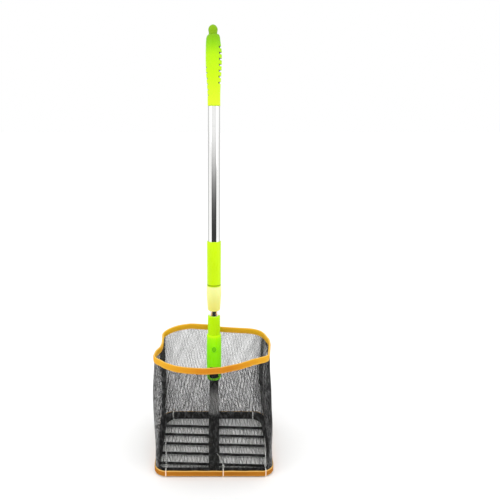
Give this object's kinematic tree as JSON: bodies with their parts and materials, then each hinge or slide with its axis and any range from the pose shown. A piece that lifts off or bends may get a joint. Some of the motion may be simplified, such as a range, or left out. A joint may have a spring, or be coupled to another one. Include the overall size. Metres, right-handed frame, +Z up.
{
  "type": "golf ball retriever",
  "caption": "Ball retriever with an open net bag on a square base ring strung with elastic cords, carried by a telescoping twist-lock pole with a ribbed grip.",
  "frame": {"origin": "centre of the base's footprint, on the floor it stands on", "axes": "+Z up along the pole, the pole stands at the back (+Y), -Y is the bag's front, +X is to the right seen from the front"},
  "size_m": [0.2326, 0.2236, 0.8234],
  "materials": {
    "frame_plastic": "satin",
    "screw_steel": "satin",
    "elastic": "matte",
    "netting": "matte",
    "seam_tape": "matte",
    "binding": "matte",
    "rim_steel": "satin",
    "tie_nylon": "satin",
    "socket_plastic": "gloss",
    "sleeve_plastic": "gloss",
    "tube_chrome": "mirror",
    "guide_plastic": "satin",
    "nut_plastic": "satin",
    "seal_rubber": "matte",
    "wedge_plastic": "satin",
    "grip_plastic": "satin"
  },
  "bodies": {
    "base": {"frame_ring": "frame_plastic", "spine_post": "frame_plastic", "screw_front_left": "screw_steel", "screw_front_right": "screw_steel", "screw_back_left": "screw_steel", "screw_back_right": "screw_steel", "elastic_cord_1": "elastic", "elastic_cord_2": "elastic", "elastic_cord_3": "elastic", "elastic_cord_4": "elastic", "elastic_cord_5": "elastic", "net_wrap": "netting", "net_back": "netting", "seam_tape_left": "seam_tape", "seam_tape_right": "seam_tape", "binding_top": "binding", "binding_bottom": "binding", "rim_wire": "rim_steel", "zip_tie_front_left": "tie_nylon", "zip_tie_front_middle": "tie_nylon", "zip_tie_front_right": "tie_nylon", "zip_tie_back_left": "tie_nylon", "zip_tie_back_right": "tie_nylon", "socket": "socket_plastic", "lower_sleeve": "sleeve_plastic", "inner_tube": "tube_chrome", "inner_tube_guide": "guide_plastic", "snap_spring": "screw_steel"},
    "button": {"snap_button": "socket_plastic"},
    "clamp": {"wedge_ring": "wedge_plastic"},
    "upper_pole": {"outer_tube": "tube_chrome", "collar_sleeve": "sleeve_plastic", "grip": "grip_plastic", "end_knob": "grip_plastic"},
    "nut_slider": {"nut_seal": "seal_rubber"},
    "nut": {"lock_nut": "nut_plastic"}
  },
  "joints": [
    {"name": "button_press", "type": "slide", "parent": "base", "child": "button", "axis": [0, 1, 0], "range_m": [0, 0.0036], "stiffness_N_per_m": 400, "springref_m": -0.004},
    {"name": "pole_slide", "type": "slide", "parent": "base", "child": "clamp", "axis": [0, 0, 1], "range_m": [-0.004, 0.25]},
    {"name": "pole_turn", "type": "hinge", "parent": "clamp", "child": "upper_pole", "pos_m": [0, 0.0915, 0.27], "axis": [0, 0, 1], "continuous": true},
    {"name": "nut_travel", "type": "slide", "parent": "upper_pole", "child": "nut_slider", "axis": [0, 0, 1], "range_m": [-0.00225, 0]},
    {"name": "nut_turn", "type": "hinge", "parent": "nut_slider", "child": "nut", "pos_m": [0, 0.0915, 0.28], "axis": [0, 0, 1], "range_deg": [-270, 0]}
  ],
  "couplings": [
    {"joint": "nut_turn", "follows": "nut_travel", "rad_per_m": 2094.4}
  ]
}
